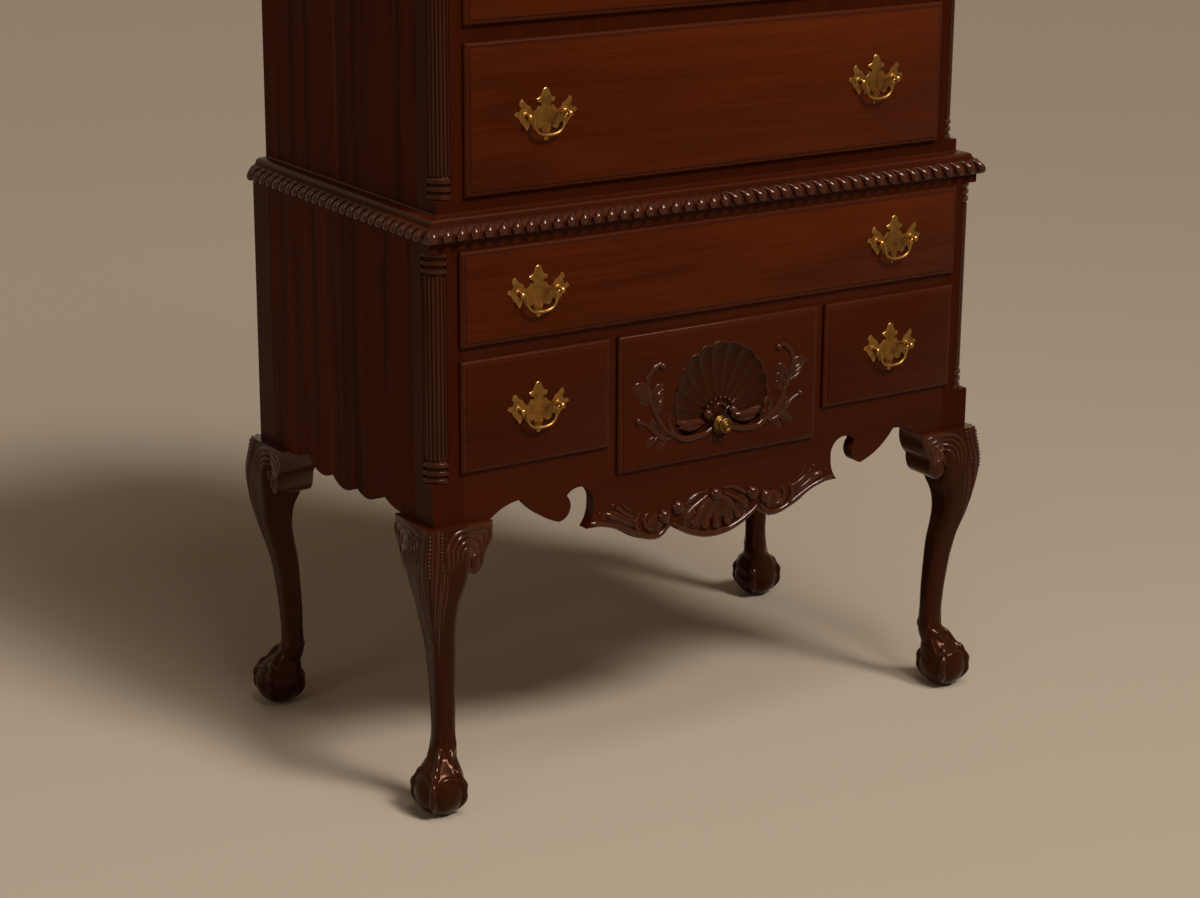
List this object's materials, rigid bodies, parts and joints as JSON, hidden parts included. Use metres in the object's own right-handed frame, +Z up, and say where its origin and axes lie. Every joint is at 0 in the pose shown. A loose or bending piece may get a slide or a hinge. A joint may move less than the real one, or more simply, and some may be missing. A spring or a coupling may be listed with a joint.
{
  "type": "highboy",
  "caption": "Tall two-part chest of drawers on cabriole legs with ball-and-claw feet, shaped apron, quarter columns, waist moulding, brass drop pulls and a broken scroll pediment.",
  "frame": {"origin": "on the floor, under the middle of the lower case's width and depth", "axes": "+Z up; +X to the right of someone who faces the drawers; the drawers face -Y and pull out along -Y"},
  "size_m": [1.0148, 0.5869, 2.0981],
  "materials": {
    "mahogany": "satin varnish over red-brown mahogany",
    "carved_mahogany": "semi-gloss, darkened in the carving",
    "secondary_wood": "bare pale wood",
    "brass": "aged, softly polished"
  },
  "bodies": {
    "case": {"leg_front_left": "carved_mahogany", "leg_front_right": "carved_mahogany", "leg_rear_left": "carved_mahogany", "leg_rear_right": "carved_mahogany", "knee_blocks": "carved_mahogany", "base_sides": "mahogany", "back_panels": "secondary_wood", "front_apron": "carved_mahogany", "base_rails": "mahogany", "drawer_runners": "secondary_wood", "waist_moulding": "carved_mahogany", "quarter_columns": "carved_mahogany", "upper_sides": "mahogany", "upper_frame": "mahogany", "case_boards": "mahogany", "pediment_board": "mahogany", "pediment_mouldings": "carved_mahogany", "finials": "carved_mahogany"},
    "base_long": {"base_long_front": "mahogany", "base_long_box": "secondary_wood", "base_long_plates": "brass"},
    "base_long_bail_left": {"base_long_bail_left": "brass"},
    "base_long_bail_right": {"base_long_bail_right": "brass"},
    "base_small_left": {"base_small_left_front": "mahogany", "base_small_left_box": "secondary_wood", "base_small_left_plates": "brass"},
    "base_small_left_bail": {"base_small_left_bail": "brass"},
    "base_small_right": {"base_small_right_front": "mahogany", "base_small_right_box": "secondary_wood", "base_small_right_plates": "brass"},
    "base_small_right_bail": {"base_small_right_bail": "brass"},
    "base_shell": {"base_shell_front": "mahogany", "base_shell_box": "secondary_wood", "base_shell_knob": "brass"},
    "upper_first": {"upper_first_front": "mahogany", "upper_first_box": "secondary_wood", "upper_first_plates": "brass"},
    "upper_first_bail_left": {"upper_first_bail_left": "brass"},
    "upper_first_bail_right": {"upper_first_bail_right": "brass"},
    "upper_second": {"upper_second_front": "mahogany", "upper_second_box": "secondary_wood", "upper_second_plates": "brass"},
    "upper_second_bail_left": {"upper_second_bail_left": "brass"},
    "upper_second_bail_right": {"upper_second_bail_right": "brass"},
    "upper_third": {"upper_third_front": "mahogany", "upper_third_box": "secondary_wood", "upper_third_plates": "brass"},
    "upper_third_bail_left": {"upper_third_bail_left": "brass"},
    "upper_third_bail_right": {"upper_third_bail_right": "brass"},
    "upper_small_left": {"upper_small_left_front": "mahogany", "upper_small_left_box": "secondary_wood", "upper_small_left_plates": "brass"},
    "upper_small_left_bail": {"upper_small_left_bail": "brass"},
    "upper_small_right": {"upper_small_right_front": "mahogany", "upper_small_right_box": "secondary_wood", "upper_small_right_plates": "brass"},
    "upper_small_right_bail": {"upper_small_right_bail": "brass"},
    "upper_shell": {"upper_shell_front": "mahogany", "upper_shell_box": "secondary_wood", "upper_shell_knob": "brass"}
  },
  "joints": [
    {"name": "base_long_slide", "type": "slide", "parent": "case", "child": "base_long", "axis": [0, -1, 0], "range_m": [0, 0.36]},
    {"name": "base_long_bail_left_swing", "type": "hinge", "parent": "base_long", "child": "base_long_bail_left", "pos_m": [-0.31585, -0.2864, 0.7569], "axis": [-1, 0, 0], "range_deg": [0, 90]},
    {"name": "base_long_bail_right_swing", "type": "hinge", "parent": "base_long", "child": "base_long_bail_right", "pos_m": [0.31585, -0.2864, 0.7569], "axis": [-1, 0, 0], "range_deg": [0, 90]},
    {"name": "base_small_left_slide", "type": "slide", "parent": "case", "child": "base_small_left", "axis": [0, -1, 0], "range_m": [0, 0.36]},
    {"name": "base_small_left_bail_swing", "type": "hinge", "parent": "base_small_left", "child": "base_small_left_bail", "pos_m": [-0.31585, -0.2864, 0.59025], "axis": [-1, 0, 0], "range_deg": [0, 90]},
    {"name": "base_small_right_slide", "type": "slide", "parent": "case", "child": "base_small_right", "axis": [0, -1, 0], "range_m": [0, 0.36]},
    {"name": "base_small_right_bail_swing", "type": "hinge", "parent": "base_small_right", "child": "base_small_right_bail", "pos_m": [0.31585, -0.2864, 0.59025], "axis": [-1, 0, 0], "range_deg": [0, 90]},
    {"name": "base_shell_slide", "type": "slide", "parent": "case", "child": "base_shell", "axis": [0, -1, 0], "range_m": [0, 0.36]},
    {"name": "upper_first_slide", "type": "slide", "parent": "case", "child": "upper_first", "axis": [0, -1, 0], "range_m": [0, 0.36]},
    {"name": "upper_first_bail_left_swing", "type": "hinge", "parent": "upper_first", "child": "upper_first_bail_left", "pos_m": [-0.289, -0.2632, 0.9981], "axis": [-1, 0, 0], "range_deg": [0, 90]},
    {"name": "upper_first_bail_right_swing", "type": "hinge", "parent": "upper_first", "child": "upper_first_bail_right", "pos_m": [0.289, -0.2632, 0.9981], "axis": [-1, 0, 0], "range_deg": [0, 90]},
    {"name": "upper_second_slide", "type": "slide", "parent": "case", "child": "upper_second", "axis": [0, -1, 0], "range_m": [0, 0.36]},
    {"name": "upper_second_bail_left_swing", "type": "hinge", "parent": "upper_second", "child": "upper_second_bail_left", "pos_m": [-0.289, -0.2632, 1.2192], "axis": [-1, 0, 0], "range_deg": [0, 90]},
    {"name": "upper_second_bail_right_swing", "type": "hinge", "parent": "upper_second", "child": "upper_second_bail_right", "pos_m": [0.289, -0.2632, 1.2192], "axis": [-1, 0, 0], "range_deg": [0, 90]},
    {"name": "upper_third_slide", "type": "slide", "parent": "case", "child": "upper_third", "axis": [0, -1, 0], "range_m": [0, 0.36]},
    {"name": "upper_third_bail_left_swing", "type": "hinge", "parent": "upper_third", "child": "upper_third_bail_left", "pos_m": [-0.289, -0.2632, 1.4147], "axis": [-1, 0, 0], "range_deg": [0, 90]},
    {"name": "upper_third_bail_right_swing", "type": "hinge", "parent": "upper_third", "child": "upper_third_bail_right", "pos_m": [0.289, -0.2632, 1.4147], "axis": [-1, 0, 0], "range_deg": [0, 90]},
    {"name": "upper_small_left_slide", "type": "slide", "parent": "case", "child": "upper_small_left", "axis": [0, -1, 0], "range_m": [0, 0.36]},
    {"name": "upper_small_left_bail_swing", "type": "hinge", "parent": "upper_small_left", "child": "upper_small_left_bail", "pos_m": [-0.289, -0.2632, 1.5827], "axis": [-1, 0, 0], "range_deg": [0, 90]},
    {"name": "upper_small_right_slide", "type": "slide", "parent": "case", "child": "upper_small_right", "axis": [0, -1, 0], "range_m": [0, 0.36]},
    {"name": "upper_small_right_bail_swing", "type": "hinge", "parent": "upper_small_right", "child": "upper_small_right_bail", "pos_m": [0.289, -0.2632, 1.5827], "axis": [-1, 0, 0], "range_deg": [0, 90]},
    {"name": "upper_shell_slide", "type": "slide", "parent": "case", "child": "upper_shell", "axis": [0, -1, 0], "range_m": [0, 0.36]}
  ]
}
